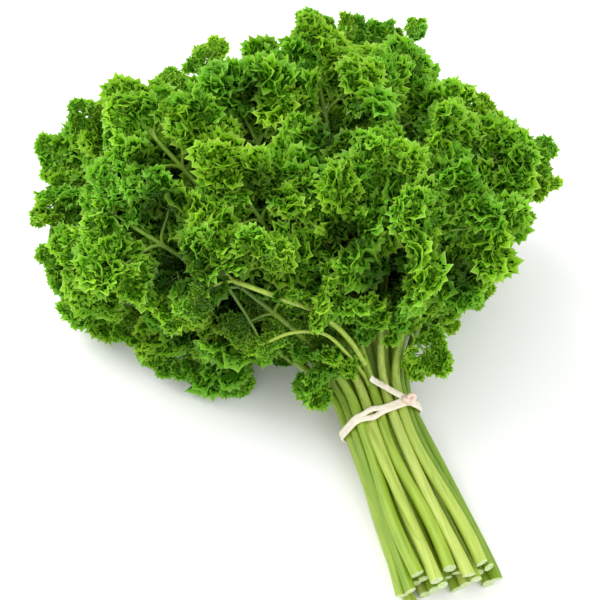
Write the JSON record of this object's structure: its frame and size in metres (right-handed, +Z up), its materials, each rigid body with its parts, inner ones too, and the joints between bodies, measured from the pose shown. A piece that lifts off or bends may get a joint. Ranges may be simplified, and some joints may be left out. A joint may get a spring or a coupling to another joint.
{
  "type": "parsley bunch",
  "caption": "Bunch of curly parsley lying on its side: green stalks tied with a rubber band below a broad head of frilly leaves.",
  "frame": {"origin": "middle of the underside of the bunch's box, on the surface that it lies on", "axes": "+Z up, +Y along the bunch from the cut ends to the leaf tips, +X across it"},
  "size_m": [0.215, 0.2513, 0.1149],
  "materials": {
    "stalk_green": null,
    "leaf_green": null,
    "rubber": "pale beige natural rubber, matt"
  },
  "bodies": {
    "root": {"stalk_01": "stalk_green", "stalk_02": "stalk_green", "stalk_03": "stalk_green", "stalk_04": "stalk_green", "stalk_05": "stalk_green", "stalk_06": "stalk_green", "stalk_07": "stalk_green", "stalk_08": "stalk_green", "stalk_09": "stalk_green", "stalk_10": "stalk_green", "stalk_11": "stalk_green", "stalk_12": "stalk_green", "stalk_13": "stalk_green", "stalk_14": "stalk_green", "stalk_15": "stalk_green", "stalk_16": "stalk_green", "stalk_17": "stalk_green", "stalk_18": "stalk_green", "stalk_19": "stalk_green", "stalk_20": "stalk_green", "stalk_21": "stalk_green", "stalk_22": "stalk_green", "stalk_23": "stalk_green", "stalk_24": "stalk_green", "frond_01": "leaf_green", "frond_02": "leaf_green", "frond_03": "leaf_green", "frond_04": "leaf_green", "frond_05": "leaf_green", "frond_06": "leaf_green", "frond_07": "leaf_green", "frond_08": "leaf_green", "frond_09": "leaf_green", "frond_10": "leaf_green", "frond_11": "leaf_green", "frond_12": "leaf_green", "frond_13": "leaf_green", "frond_14": "leaf_green", "frond_15": "leaf_green", "frond_16": "leaf_green", "frond_17": "leaf_green", "frond_18": "leaf_green", "frond_19": "leaf_green", "frond_20": "leaf_green", "frond_21": "leaf_green", "frond_22": "leaf_green", "frond_23": "leaf_green", "frond_24": "leaf_green", "rubber_band": "rubber"}
  },
  "joints": []
}
